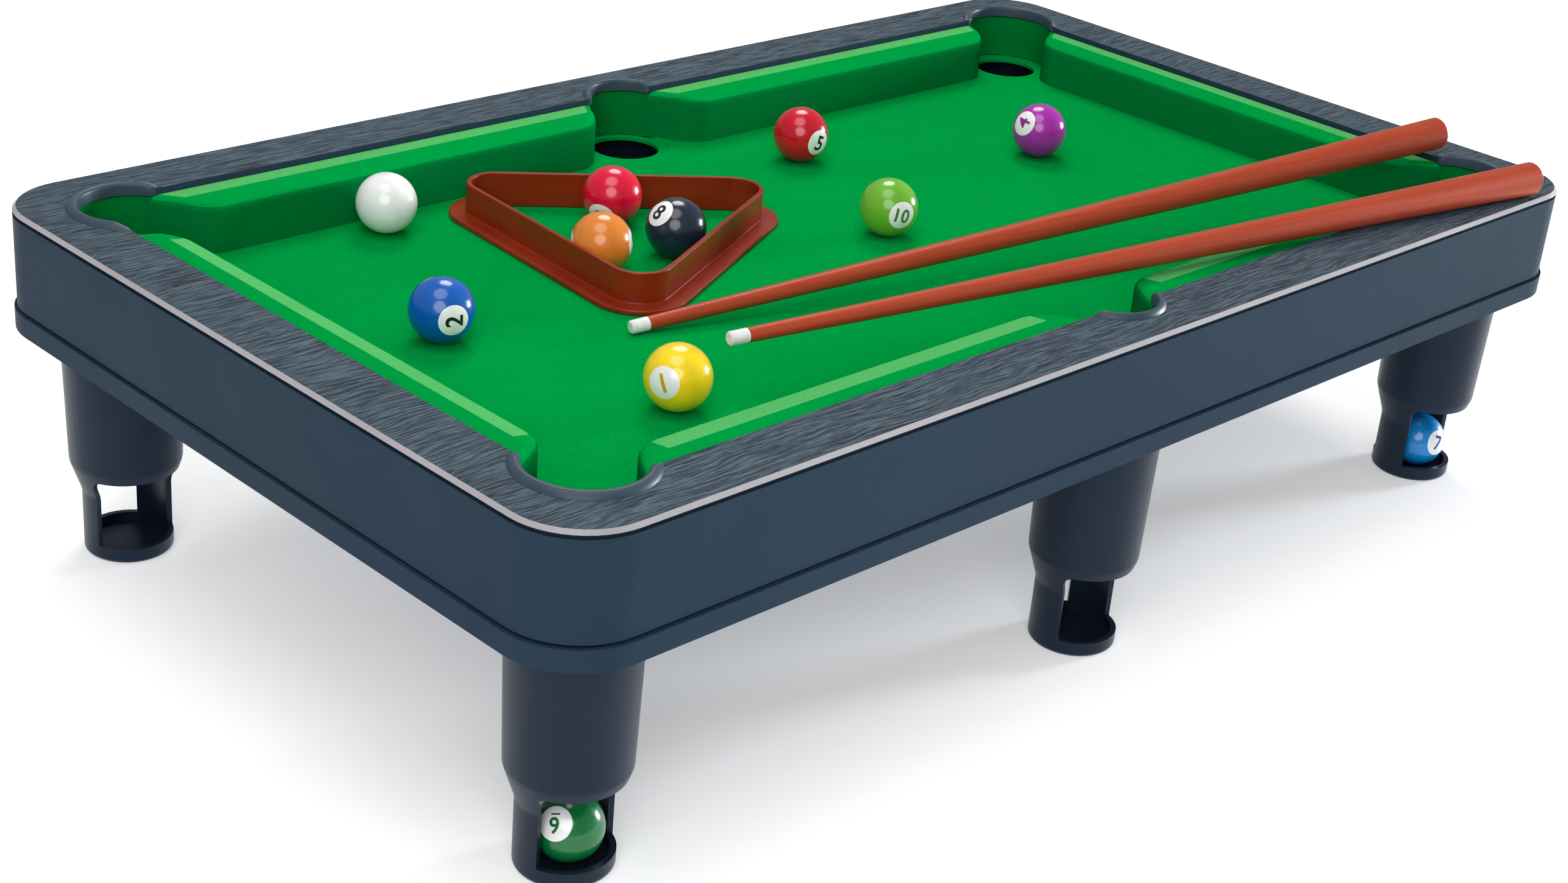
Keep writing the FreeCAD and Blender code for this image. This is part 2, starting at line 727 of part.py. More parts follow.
# ---------------------------------------------------------------- rack
def make_rack():
    """Three-sided rack with round corners and a flange along its foot."""
    body = new_body("rack")
    foot = new_sketch(body, "flange_outline")
    rounded_triangle(foot, "rack_reach", "rack_corner + rack_flange")
    pad(body, foot, "rack_flange_height", "flange")
    wall = new_sketch(body, "wall_outline")
    rounded_triangle(wall, "rack_reach", "rack_corner")
    pad(body, wall, "rack_height", "wall")
    inside = new_sketch(body, "inside_outline")
    rounded_triangle(inside, "rack_reach", "rack_corner - rack_wall")
    pocket(body, inside, "rack_height", "inside")
    place = V(number("rack_x"), number("rack_y"), number("bed_top + small_gap"))
    keep("rack", body, place, number("rack_turn"))


# ---------------------------------------------------------------- cues
CUES = {
    # name: tip centre, heading from +X in degrees, rise in degrees
    "cue_a": (V(-90.5, -15.6, 80.95), -12.0, 4.15),
    "cue_b": (V(-99.5, -58.7, 95.95), -10.38, 0.63),
}


def make_cue(name, tip, heading, rise):
    """Tapered shaft, pale ferrule and domed tip on one axis, tip end first."""
    turn = FreeCAD.Rotation(V(0, 0, 1), heading) * FreeCAD.Rotation(V(0, 1, 0), 90 - rise)

    def stretch(label, start, end_formula):
        """One tapered stretch of the cue, from a distance behind the tip."""
        cone = doc.addObject("Part::Cone", label)
        drive(cone, end_formula, "Height")
        span = number(end_formula)
        grow = "(Sizes.cue_butt_radius - Sizes.cue_tip_radius) / Sizes.cue_length"
        cone.setExpression("Radius1", f"Sizes.cue_tip_radius + {start} * {grow}")
        cone.setExpression("Radius2", f"Sizes.cue_tip_radius + {start + span} * {grow}")
        return cone

    def place(label, item, start):
        keep(label, item)
        item.Placement = FreeCAD.Placement(tip + turn.multVec(V(0, 0, start)), turn)

    tip_cone = stretch(f"{name}_tip_blank", 0.0, "cue_tip_length")
    doc.recompute()
    dome = doc.addObject("Part::Fillet", f"{name}_tip")
    dome.Base = tip_cone
    bend = number("cue_tip_dome")
    dome.Edges = [(n, bend, bend) for n, edge in enumerate(tip_cone.Shape.Edges, start=1)
                  if edge.Closed and at_height(edge, 0)]
    place(f"{name}_tip", dome, 0.0)

    start = number("cue_tip_length")
    place(f"{name}_ferrule", stretch(f"{name}_ferrule", start, "ferrule_length"), start)

    start = number("cue_tip_length + ferrule_length")
    blank = stretch(f"{name}_shaft_blank", start, "cue_length - cue_tip_length - ferrule_length")
    doc.recompute()
    shaft = doc.addObject("Part::Fillet", f"{name}_shaft")
    shaft.Base = blank
    bend = number("butt_round")
    shaft.Edges = [(n, bend, bend) for n, edge in enumerate(blank.Shape.Edges, start=1)
                   if edge.Closed and at_height(edge, blank.Height.Value)]
    place(f"{name}_shaft", shaft, start)


def make_cues():
    for name, (tip, heading, rise) in CUES.items():
        make_cue(name, tip, heading, rise)


# ---------------------------------------------------------------- build, test and write
make_top_frame()
make_base_cover()
make_case_screws()
make_bed()
make_cushions()
make_pockets()
make_legs()
make_balls()
make_rack()
make_cues()
doc.recompute()

for item in doc.Objects:
    if "Invalid" in item.State or "Error" in item.State:
        raise RuntimeError(f"{item.Label} failed: {item.State}")
for label, item in nodes.items():
    if item.Shape.isNull() or not item.Shape.isValid():
        raise RuntimeError(f"{label} has no valid shape")

os.makedirs("parts", exist_ok=True)
for label, item in nodes.items():
    item.Shape.exportStep(f"parts/{label}.step")
print(len(nodes), "nodes written")
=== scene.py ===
import json
import math

import bmesh
import bpy
from mathutils import Matrix, Vector


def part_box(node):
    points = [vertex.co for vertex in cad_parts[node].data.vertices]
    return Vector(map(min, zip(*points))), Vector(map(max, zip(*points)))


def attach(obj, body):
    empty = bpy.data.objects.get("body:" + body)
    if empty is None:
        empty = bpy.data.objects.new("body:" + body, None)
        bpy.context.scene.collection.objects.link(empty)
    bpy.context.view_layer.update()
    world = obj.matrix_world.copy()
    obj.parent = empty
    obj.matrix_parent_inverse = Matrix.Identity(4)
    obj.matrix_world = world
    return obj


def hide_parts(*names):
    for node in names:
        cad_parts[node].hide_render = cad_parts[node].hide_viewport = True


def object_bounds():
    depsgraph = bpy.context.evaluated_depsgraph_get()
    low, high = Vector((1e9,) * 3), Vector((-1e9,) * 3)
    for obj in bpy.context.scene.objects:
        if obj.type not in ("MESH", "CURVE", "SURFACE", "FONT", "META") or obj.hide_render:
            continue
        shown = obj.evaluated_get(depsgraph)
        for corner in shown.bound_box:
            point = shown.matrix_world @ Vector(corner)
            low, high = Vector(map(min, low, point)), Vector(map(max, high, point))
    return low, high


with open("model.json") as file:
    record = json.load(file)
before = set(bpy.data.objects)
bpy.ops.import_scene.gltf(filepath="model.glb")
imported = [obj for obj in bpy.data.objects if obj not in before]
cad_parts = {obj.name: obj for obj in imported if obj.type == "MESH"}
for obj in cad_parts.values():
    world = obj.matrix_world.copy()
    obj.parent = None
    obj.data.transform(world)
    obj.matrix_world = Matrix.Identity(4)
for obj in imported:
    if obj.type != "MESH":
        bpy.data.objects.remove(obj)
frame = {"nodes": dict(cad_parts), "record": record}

# ---------------------------------------------------------------- view, floor and light
# The table stands on a plain pale floor and is seen over its front left corner.
# Soft round lamps stand behind, above, in front and low at the right, in a pale room.
cad_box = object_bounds()
MM = 0.001
HEADING, DIP, TILT = math.radians(43.31), math.radians(25.66), math.radians(5.27)
ahead = Vector((math.cos(HEADING) * math.cos(DIP), math.sin(HEADING) * math.cos(DIP), -math.sin(DIP)))
level_right = Vector((math.sin(HEADING), -math.cos(HEADING), 0))
level_up = level_right.cross(ahead)
right = math.cos(TILT) * level_right + math.sin(TILT) * level_up
upward = math.cos(TILT) * level_up - math.sin(TILT) * level_right

lens = bpy.data.cameras.new("view")
lens.lens = 56.54
lens.shift_x = -0.0051
lens.shift_y = 0.0032
lens.clip_start = 0.01
viewer = bpy.data.objects.new("view", lens)
turn = Matrix((right, upward, -ahead)).transposed().to_4x4()
viewer.matrix_world = Matrix.Translation((-0.4603, -0.4214, 0.3162)) @ turn
bpy.context.scene.collection.objects.link(viewer)
bpy.context.scene.camera = viewer
bpy.context.scene.view_settings.view_transform = "Standard"


def lamp(name, place, target, size, power, tint):
    """A round soft lamp aimed at a point."""
    light = bpy.data.lights.new(name, "AREA")
    light.shape = "DISK"
    light.size = size
    light.energy = power
    light.color = tint
    item = bpy.data.objects.new(name, light)
    aim = Vector(target) - Vector(place)
    item.matrix_world = Matrix.Translation(place) @ aim.to_track_quat("-Z", "Y").to_matrix().to_4x4()
    bpy.context.scene.collection.objects.link(item)


lamp("key_behind", (0.42, 0.48, 0.95), (0, 0, 0.08), 0.5, 5.0, (1.0, 0.99, 0.97))
lamp("overhead", (-0.30, -0.10, 1.15), (0, 0, 0.08), 0.8, 4.5, (1.0, 1.0, 1.0))
lamp("front_fill", (-0.85, -0.70, 0.75), (0, 0, 0.06), 0.9, 7.5, (1.0, 1.0, 1.0))
lamp("side_right", (1.8, -0.55, 0.22), (0.0, -0.1, 0.04), 0.45, 42.0, (0.90, 0.95, 1.0))

world = bpy.data.worlds.new("studio")
world.use_nodes = True
world.node_tree.nodes["Background"].inputs["Color"].default_value = (1.0, 1.0, 1.0, 1)
world.node_tree.nodes["Background"].inputs["Strength"].default_value = 0.30
bpy.context.scene.world = world


def material(name, **values):
    """A new node material with plain values on its shader; returns its tree and shader."""
    made = bpy.data.materials.new(name)
    made.use_nodes = True
    shader = made.node_tree.nodes["Principled BSDF"]
    for socket, value in values.items():
        shader.inputs[socket.replace("_", " ")].default_value = value
    return made, made.node_tree, shader


def add(tree, kind, inputs=(), **settings):
    """A shader node with its settings; inputs are values or sockets by name or number."""
    made = tree.nodes.new(f"ShaderNode{kind}")
    for name, value in settings.items():
        setattr(made, name, value)
    for socket, value in dict(inputs).items():
        if isinstance(value, bpy.types.NodeSocket):
            tree.links.new(value, made.inputs[socket])
        else:
            made.inputs[socket].default_value = value
    return made


def stretched(tree, scale, turn=0.0, start=None):
    """Object coordinates scaled by axis, after a turn about +Z."""
    source = start or add(tree, "TexCoord").outputs["Object"]
    turned = add(tree, "Mapping", {"Vector": source, "Rotation": (0, 0, turn)}).outputs["Vector"]
    return add(tree, "Mapping", {"Vector": turned, "Scale": scale}).outputs["Vector"]


def noise(tree, vector, scale=1.0, detail=2.0, roughness=0.5):
    values = {"Vector": vector, "Scale": scale, "Detail": detail, "Roughness": roughness}
    return add(tree, "TexNoise", values).outputs["Fac"]


def ramp(tree, factor, *stops):
    """A colour ramp; each stop is a position and a colour or a grey."""
    made = add(tree, "ValToRGB", {"Fac": factor})
    elements = made.color_ramp.elements
    while len(elements) < len(stops):
        elements.new(0.5)
    for element, (position, shade) in zip(elements, stops):
        element.position = position
        grey = isinstance(shade, (int, float))
        element.color = (shade, shade, shade, 1) if grey else (*shade, 1)
    return made.outputs["Color"]


floor_paint, tree, shader = material("floor_paint", Roughness=0.9,
                                     Emission_Color=(1.0, 1.0, 1.0, 1), Emission_Strength=0.30)
speckle = noise(tree, stretched(tree, (30, 30, 30)), 4.0)
tree.links.new(ramp(tree, speckle, (0.3, 0.93), (0.7, 0.95)), shader.inputs["Base Color"])
floor_mesh = bpy.data.meshes.new("floor")
floor_mesh.from_pydata([(-6, -6, 0), (6, -6, 0), (6, 6, 0), (-6, 6, 0)], [], [(0, 1, 2, 3)])
floor_mesh.materials.append(floor_paint)
floor = bpy.data.objects.new("floor", floor_mesh)
floor.location.z = cad_box[0][2]
bpy.context.scene.collection.objects.link(floor)

# ---------------------------------------------------------------- case top
# One injection-moulded shell makes the rim, its bevel, the shadow groove and the skirt.
# It is satin blue-grey plastic, and the rim's top face carries a moulded wood grain. Its bevel is painted
# pale grey as a painted highlight.
BODIES = {node: body for body, nodes in frame["record"]["behaviour"]["bodies"].items() for node in nodes}


def finished(piece, *nodes):
    """The piece stands for CAD nodes: it takes their body, and the nodes are hidden."""
    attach(piece, BODIES[nodes[0]])
    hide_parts(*nodes)


def softened(node, name, edge_radius, *finishes, segments=2):
    """A piece with a CAD node's shape whose hard edges are rounded off."""
    shape = bmesh.new()
    shape.from_mesh(frame["nodes"][node].data)
    bmesh.ops.remove_doubles(shape, verts=shape.verts, dist=1e-6)
    bmesh.ops.dissolve_limit(shape, angle_limit=math.radians(0.4), verts=shape.verts, edges=shape.edges)
    mesh = bpy.data.meshes.new(name)
    shape.to_mesh(mesh)
    shape.free()
    mesh.shade_smooth()
    mesh.materials.clear()
    for finish in finishes:
        mesh.materials.append(finish)
    piece = bpy.data.objects.new(name, mesh)
    bpy.context.scene.collection.objects.link(piece)
    rounding = piece.modifiers.new("rounding", "BEVEL")
    rounding.width = edge_radius
    rounding.segments = segments
    rounding.limit_method = "ANGLE"
    rounding.angle_limit = math.radians(28)
    rounding.material = -1
    piece.modifiers.new("shading", "WEIGHTED_NORMAL")
    finished(piece, node)
    return piece


def mixed(tree, factor, first, second, mode="MIX"):
    values = {"Factor": factor, 6: first, 7: second}
    return add(tree, "Mix", values, data_type="RGBA", blend_type=mode).outputs[2]


def bump(tree, shader, height, distance, strength=1.0):
    values = {"Height": height, "Distance": distance, "Strength": strength}
    tree.links.new(add(tree, "Bump", values).outputs["Normal"], shader.inputs["Normal"])


def satin_plastic(name, low, high, gloss, shine=0.04):
    """Moulded plastic: slight mottling in colour and gloss over a fine spark-eroded texture."""
    made, tree, shader = material(name, Specular_IOR_Level=shine)
    broad = noise(tree, stretched(tree, (14, 14, 14)), 1.0, 3.0)
    tree.links.new(ramp(tree, broad, (0.3, low), (0.7, high)), shader.inputs["Base Color"])
    patches = noise(tree, stretched(tree, (60, 60, 60)), 1.0, 4.0)
    tree.links.new(ramp(tree, patches, (0.3, gloss - 0.05), (0.7, gloss + 0.06)), shader.inputs["Roughness"])
    bump(tree, shader, noise(tree, stretched(tree, (3500, 3500, 3500)), 1.0, 2.0), 0.02 * MM, 0.5)
    return made


case_plastic = satin_plastic("case_plastic", (0.018, 0.037, 0.060), (0.021, 0.041, 0.066), 0.48)
# the bevel strip is painted pale pinkish grey as a painted highlight; it is the same plastic as the shell
bevel_painted_highlight = satin_plastic("bevel_painted_highlight", (0.33, 0.315, 0.33), (0.40, 0.38, 0.395), 0.34, 0.3)

grained_plastic, tree, shader = material("grained_plastic", Specular_IOR_Level=0.12)
sway = noise(tree, stretched(tree, (38, 55, 1)), 1.0, 2.0)
swayed = add(tree, "VectorMath", {0: (0, 0.0055, 0)}, operation="SCALE")
tree.links.new(sway, swayed.inputs["Scale"])
place = add(tree, "TexCoord").outputs["Object"]
moved = add(tree, "VectorMath", {0: place, 1: swayed.outputs["Vector"]}, operation="ADD")
lines = noise(tree, stretched(tree, (75, 1650, 1), start=moved.outputs["Vector"]), 1.0, 3.0, 0.6)
streaks = ramp(tree, lines, (0.44, 0.0), (0.53, 1.0))
fine_lines = noise(tree, stretched(tree, (240, 3600, 1), start=moved.outputs["Vector"]), 1.0, 2.0)
fine_streaks = ramp(tree, fine_lines, (0.42, 0.0), (0.56, 1.0))
grain = mixed(tree, 0.35, streaks, fine_streaks)
broad = noise(tree, stretched(tree, (30, 60, 1)), 1.0, 3.0)
shallow = mixed(tree, ramp(tree, broad, (0.4, 0.0), (0.75, 0.4)), grain, (0.65, 0.65, 0.65, 1))
tones = ramp(tree, shallow, (0.0, (0.010, 0.018, 0.028)), (0.55, (0.042, 0.066, 0.092)),
             (1.0, (0.090, 0.130, 0.158)))
tree.links.new(tones, shader.inputs["Base Color"])
tree.links.new(ramp(tree, shallow, (0.0, 0.62), (1.0, 0.46)), shader.inputs["Roughness"])
bump(tree, shader, shallow, 0.16 * MM, 0.8)

case_top = softened("top_frame", "case_top", 0.22 * MM, case_plastic, grained_plastic, bevel_painted_highlight)
rim_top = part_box("top_frame")[1].z
for face in case_top.data.polygons:
    if face.normal.z > 0.99 and face.center.z > rim_top - 0.1 * MM:
        face.material_index = 1
    # faces on the bevel take the pale painted-highlight grey
    elif 0.5 < face.normal.z < 0.9 and face.center.z > rim_top - 1.4 * MM:
        face.material_index = 2

# ---------------------------------------------------------------- base cover and screws
# The underside cover is the same satin plastic, with a band that stands proud of the skirt.
# Eight zinc-plated pan-head screws hold it to bosses inside the case.
softened("base_cover", "base_cover_shell", 0.25 * MM, case_plastic)

plated_steel, tree, shader = material("plated_steel", Metallic=1.0)
brushed = noise(tree, stretched(tree, (900, 900, 300)), 1.0, 3.0)
tree.links.new(ramp(tree, brushed, (0.3, (0.42, 0.42, 0.43)), (0.7, (0.56, 0.56, 0.55))),
               shader.inputs["Base Color"])
tree.links.new(ramp(tree, brushed, (0.3, 0.26), (0.7, 0.42)), shader.inputs["Roughness"])
softened("case_screws", "cover_screws", 0.12 * MM, plated_steel)

# ---------------------------------------------------------------- bed and pocket walls
# The playing surface is a thin moulded panel covered in green flock, short fibres glued on end.
# Each pocket wall is a curved flocked strip that stands in a shallow round seat in the bed. Its darker green
# is painted shade; the cloth is the same green as the bed.
CLOTH_GREEN = (0.0003, 0.300, 0.052)


def flock(name, shade, sheen):
    """Flocked cloth: fibre speckle in the colour, a soft nap and a tinted sheen."""
    made, tree, shader = material(name, Roughness=0.95, Specular_IOR_Level=0.0,
                                  Sheen_Weight=sheen, Sheen_Roughness=0.5, Sheen_Tint=(0.55, 1.0, 0.6, 1))
    fibres = noise(tree, stretched(tree, (2600, 2600, 2600)), 1.0, 3.0, 0.65)
    brushed = noise(tree, stretched(tree, (35, 50, 50)), 1.0, 3.0)
    deep = tuple(0.80 * value for value in shade)
    pale = tuple(min(1.0, 1.14 * value) for value in shade)
    speckled = ramp(tree, fibres, (0.3, deep), (0.7, pale))
    patchy = ramp(tree, brushed, (0.3, 0.93), (0.7, 1.0))
    tree.links.new(mixed(tree, 1.0, speckled, patchy, "MULTIPLY"), shader.inputs["Base Color"])
    bump(tree, shader, fibres, 0.12 * MM, 0.55)
    return made


bed_flock = flock("bed_flock", CLOTH_GREEN, 0.0)
# the pocket walls take a darker copy of the bed's green as painted shade
painted_shade_wall_flock = flock("painted_shade_wall_flock", (0.0003, 0.20, 0.036), 0.0)
softened("bed_panel", "bed_cloth", 0.35 * MM, bed_flock, segments=3)
POCKETS = ("back_left", "back_middle", "back_right", "front_left", "front_middle", "front_right")
for corner in POCKETS:
    softened(f"pocket_wall_{corner}", f"pocket_lining_{corner}", 0.3 * MM, painted_shade_wall_flock)

# ---------------------------------------------------------------- cushions
# Six flocked strips stand on the bed with their tails held under the rim.
# Each has an upright nose, two gentle slopes that meet in a ridge, and ends that sweep into the pockets. The
# cloth is one green; the slope that faces the back or right is painted paler as a painted highlight, and the
# upright face darker as painted shade.
raised_flock = flock("raised_flock", (0.0003, 0.30, 0.050), 0.0)
# a paler, greyer copy of the cloth's green, put on the slopes that face the back and right as a painted
# highlight
painted_light_flock = flock("painted_light_flock", (0.085, 0.45, 0.120), 0.05)
# a darker copy of the cloth's green, put on the upright nose faces as painted shade
painted_shade_flock = flock("painted_shade_flock", (0.0003, 0.19, 0.040), 0.0)
NOSE_TOP, RIDGE_TOP, BACK_TOP, TAIL_TOP = 12.8 * MM, 13.8 * MM, 13.4 * MM, 12.7 * MM
RIDGE_BACK, SLIT, TAIL, TAIL_INSET = 6.2 * MM, 0.3 * MM, 5.0 * MM, 4.8 * MM
NOSE_ROUND = 2.3 * MM
STRAIGHT_STEPS = 24
# the nose slope's painted highlight starts a few rows before the straight run and ends a few after it
ROWS_BEFORE, ROWS_AFTER = 3, 2
# facets across a strip, counted from its foot at the nose
FACE_FACETS, NOSE_SLOPE_FACETS, RIM_SLOPE_FACETS = range(0, 5), range(7, 11), range(11, 14)


def cushion_end(half, depth, steps=18):
    """The end's plan from rim to nose: points and inward normals along one smooth sweep."""
    ends = [Vector((half, depth)), Vector((half - 0.24 * depth, 0.62 * depth)),
            Vector((half - 0.46 * depth, 0.0)), Vector((half - 1.05 * depth, 0.0))]
    for step in range(steps + 1):
        t = step / steps
        s = 1 - t
        spot = s ** 3 * ends[0] + 3 * s * s * t * ends[1] + 3 * s * t * t * ends[2] + t ** 3 * ends[3]
        run = (s * s * (ends[1] - ends[0]) + 2 * s * t * (ends[2] - ends[1]) + t * t * (ends[3] - ends[2]))
        run.normalize()
        yield spot, Vector((run.y, -run.x))


def cushion(node, along, inward, nose_side_painted_light):
    """A cushion strip in its CAD node's box; along and inward are its level directions."""
    low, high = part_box(node)
    span = high - low
    half = abs(span.dot(along)) / 2
    depth = abs(span.dot(inward)) - TAIL
    middle = (low + high) / 2
    origin = middle + inward * ((depth + TAIL) / 2)
    origin.z = low.z
    ridge = depth - RIDGE_BACK
    back = depth - SLIT

    def top(v):
        if v < ridge:
            return NOSE_TOP + (RIDGE_TOP - NOSE_TOP) * v / ridge
        return RIDGE_TOP - (RIDGE_TOP - BACK_TOP) * (v - ridge) / (back - ridge)

    plan = [(Vector((-spot.x, spot.y)), Vector((-normal.x, normal.y)))
            for spot, normal in cushion_end(half, depth)]
    first, last = plan[-1][0].x, -plan[-1][0].x
    plan += [(Vector((first + (last - first) * n / STRAIGHT_STEPS, 0)), Vector((0, 1)))
             for n in range(1, STRAIGHT_STEPS)]
    plan += reversed(list(cushion_end(half, depth)))

    shape = bmesh.new()
    rows = []
    for spot, normal in plan:
        normal = Vector((normal.x, abs(normal.y)))
        inner = spot + normal * NOSE_ROUND
        start = min(inner.y, back)
        shoulder = top(start)
        column = [(spot.x, spot.y, height * (shoulder - NOSE_ROUND)) for height in (0, 0.33, 0.66, 1)]
        for step in range(1, 6):
            angle = step * math.pi / 10
            reach = spot + normal * (NOSE_ROUND * (1 - math.cos(angle)))
            height = shoulder - NOSE_ROUND + NOSE_ROUND * math.sin(angle)
            column.append((reach.x, min(reach.y, back), height))
        for v in (ridge * 0.5, ridge - 0.35 * MM, ridge, ridge + 0.35 * MM, (ridge + back) / 2, back):
            v = max(v, start)
            dip = 0.06 * MM if abs(v - ridge) < 0.1 * MM else 0.0
            column.append((inner.x, v, top(v) - dip))
        tail_x = max(-half + TAIL_INSET, min(half - TAIL_INSET, inner.x))
        column.append((inner.x, back, TAIL_TOP))
        column.append((tail_x, depth + 0.02 * MM, TAIL_TOP))
        column.append((tail_x, depth + TAIL - 0.05 * MM, TAIL_TOP))
        column.append((tail_x, depth + TAIL - 0.05 * MM, 0.02 * MM))
        rows.append([shape.verts.new(origin + along * u - inward * v + Vector((0, 0, z)))
                     for u, v, z in column])
    count = len(rows[0])
    swept = len(plan) // 2 - STRAIGHT_STEPS // 2
    for row, (near, far) in enumerate(zip(rows, rows[1:])):
        on_sweep = row < swept - ROWS_BEFORE or row >= len(plan) - swept + ROWS_AFTER
        for k in range(count):
            following = (k + 1) % count
            face = shape.faces.new((near[k], far[k], far[following], near[following]))
            face.smooth = True
            on_nose_slope = k in NOSE_SLOPE_FACETS and not on_sweep
            on_rim_slope = k in RIM_SLOPE_FACETS
            # the slopes facing the back or right take the paler copy as a painted highlight
            if (on_nose_slope and nose_side_painted_light) or (on_rim_slope and not nose_side_painted_light):
                face.material_index = 1
            # the upright face facets take the darker copy as painted shade
            elif k in FACE_FACETS:
                face.material_index = 2
    for end in (rows[0], rows[-1]):
        shape.faces.new(end)
    bmesh.ops.remove_doubles(shape, verts=shape.verts, dist=2e-6)
    bmesh.ops.dissolve_degenerate(shape, edges=shape.edges, dist=2e-6)
    bmesh.ops.recalc_face_normals(shape, faces=shape.faces)
    mesh = bpy.data.meshes.new(node)
    shape.to_mesh(mesh)
    shape.free()
    for finish in (raised_flock, painted_light_flock, painted_shade_flock):
        mesh.materials.append(finish)
    mesh.set_sharp_from_angle(angle=math.radians(50))
    piece = bpy.data.objects.new(node.replace("cushion", "cushion_strip"), mesh)
    bpy.context.scene.collection.objects.link(piece)
    piece.modifiers.new("shading", "WEIGHTED_NORMAL").keep_sharp = True
    finished(piece, node)


X, Y = Vector((1, 0, 0)), Vector((0, 1, 0))
for side in ("left", "right"):
    cushion(f"cushion_back_{side}", X, -Y, False)
    cushion(f"cushion_front_{side}", X, Y, True)
cushion("cushion_end_left", Y, X, True)
cushion("cushion_end_right", Y, -X, False)

# ---------------------------------------------------------------- pocket collars
# A smooth raised rib of the case's plastic runs round each pocket mouth, proud of the grained rim.
# It hangs in the rim's notch by a lip and is pressed in.
collar_plastic = satin_plastic("collar_plastic", (0.040, 0.062, 0.090), (0.046, 0.070, 0.100), 0.40, 0.25)
COLLARS = {
    # kind: inner radius, width, how far the rim's inner edge lies from the pocket's axis
    "corner": (13.2 * MM, 2.8 * MM, 8.45 * MM),
    "middle": (11.0 * MM, 2.1 * MM, 3.85 * MM),
}
RIB_PROFILE = [
    # share of the width, height above the rim in mm
    (0.0, -1.9), (0.0, 0.55), (0.05, 0.98), (0.16, 1.32), (0.32, 1.48), (0.50, 1.42), (0.68, 1.16),
    (0.84, 0.74), (0.95, 0.32), (1.0, 0.02),
]
COLLAR_STEPS, RUNOUT, LIP = 72, 0.07, 1.1 * MM


def collar(corner):
    """A rounded rib round one pocket mouth whose ends run out to points at the rim's edge."""
    kind = "middle" if "middle" in corner else "corner"
    inner, width, edge = COLLARS[kind]
    low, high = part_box(f"pocket_collar_{corner}")
    outer = inner + width
    x_sign = {"left": -1, "right": 1}.get(corner.split("_")[1], 0)
    y_sign = 1 if corner.startswith("back") else -1
    axis_x = (high.x - outer if x_sign > 0 else low.x + outer) if x_sign else 0.0
    axis_y = high.y - outer if y_sign > 0 else low.y + outer
    shape = bmesh.new()
    loops = []
    for step in range(COLLAR_STEPS + 1):
        t = step / COLLAR_STEPS
        near_end = min(t, 1 - t)
        full = 1.0 if near_end > RUNOUT else 0.25 + 0.75 * math.sin(math.pi / 2 * near_end / RUNOUT)
        points = [(inner + share * width, height * MM * (full if height > 0 else 1))
                  for share, height in RIB_PROFILE]
        points += [(inner + LIP, 0.02 * MM), (inner + LIP, -1.9 * MM)]
        loop = []
        for reach, height in points:
            cut = math.asin(edge / reach)
            start = cut - math.pi / 2 if kind == "corner" else cut
            angle = start + (math.pi - cut - start) * t
            x = axis_x + (x_sign or 1) * reach * math.cos(angle)
            y = axis_y + y_sign * reach * math.sin(angle)
            loop.append(shape.verts.new((x, y, rim_top + height)))
        loops.append(loop)
    count = len(loops[0])
    for near, far in zip(loops, loops[1:]):
        for k in range(count):
            following = (k + 1) % count
            shape.faces.new((near[k], far[k], far[following], near[following]))
    for loop in (loops[0], loops[-1]):
        shape.faces.new(loop)
    bmesh.ops.recalc_face_normals(shape, faces=shape.faces)
    mesh = bpy.data.meshes.new(f"collar_{corner}")
    shape.to_mesh(mesh)
    shape.free()
    mesh.shade_smooth()
    mesh.set_sharp_from_angle(angle=math.radians(55))
    mesh.materials.append(collar_plastic)
    rib = bpy.data.objects.new(f"collar_{corner}", mesh)
    bpy.context.scene.collection.objects.link(rib)
    finished(rib, f"pocket_collar_{corner}")


for corner in POCKETS:
    collar(corner)

# ---------------------------------------------------------------- legs
# Six hollow legs plug into sockets in the base cover, and each is also the chute of its pocket.
# They are dark polished plastic, with a window and a cup that holds a potted ball.
leg_plastic, tree, shader = material("leg_plastic", Specular_IOR_Level=0.32,
                                     Specular_Tint=(0.50, 0.72, 1.0, 1))
broad = noise(tree, stretched(tree, (22, 22, 22)), 1.0, 3.0)
tree.links.new(ramp(tree, broad, (0.3, (0.006, 0.010, 0.021)), (0.7, (0.008, 0.013, 0.025))),
               shader.inputs["Base Color"])
tree.links.new(ramp(tree, broad, (0.3, 0.34), (0.7, 0.40)), shader.inputs["Roughness"])
bump(tree, shader, noise(tree, stretched(tree, (1800, 1800, 1800)), 1.0, 2.0), 0.015 * MM, 0.5)
for corner in POCKETS:
    softened(f"leg_{corner}", f"chute_leg_{corner}", 0.3 * MM, leg_plastic)

# ---------------------------------------------------------------- balls
# The balls are polished cast resin, 16 mm across, each turned from one blank.
# Every numbered ball has two white inlaid discs on opposite sides with its number in each.
DISC_REACH = math.radians(28)
WHITE = (0.94, 0.94, 0.94)
BLACK = (0.010, 0.011, 0.015)
CAP_RINGS, WAIST_RINGS, ROUND_STEPS = 8, 44, 96
DIGIT_HEIGHT, DIGIT_WIDTH, DIGIT_RISE, DIGIT_SINK = 4.4 * MM, 4.2 * MM, 0.035 * MM, 0.15 * MM
LONGEST_EDGE = 0.55 * MM
# in units of the type's size: extra stroke weight, and the bar that tells a 9 from a 6
STROKE_WEIGHT = 0.018
BAR_MIDDLE, BAR_SIZE = (0.29, 0.84), (0.42, 0.07, 0.04)


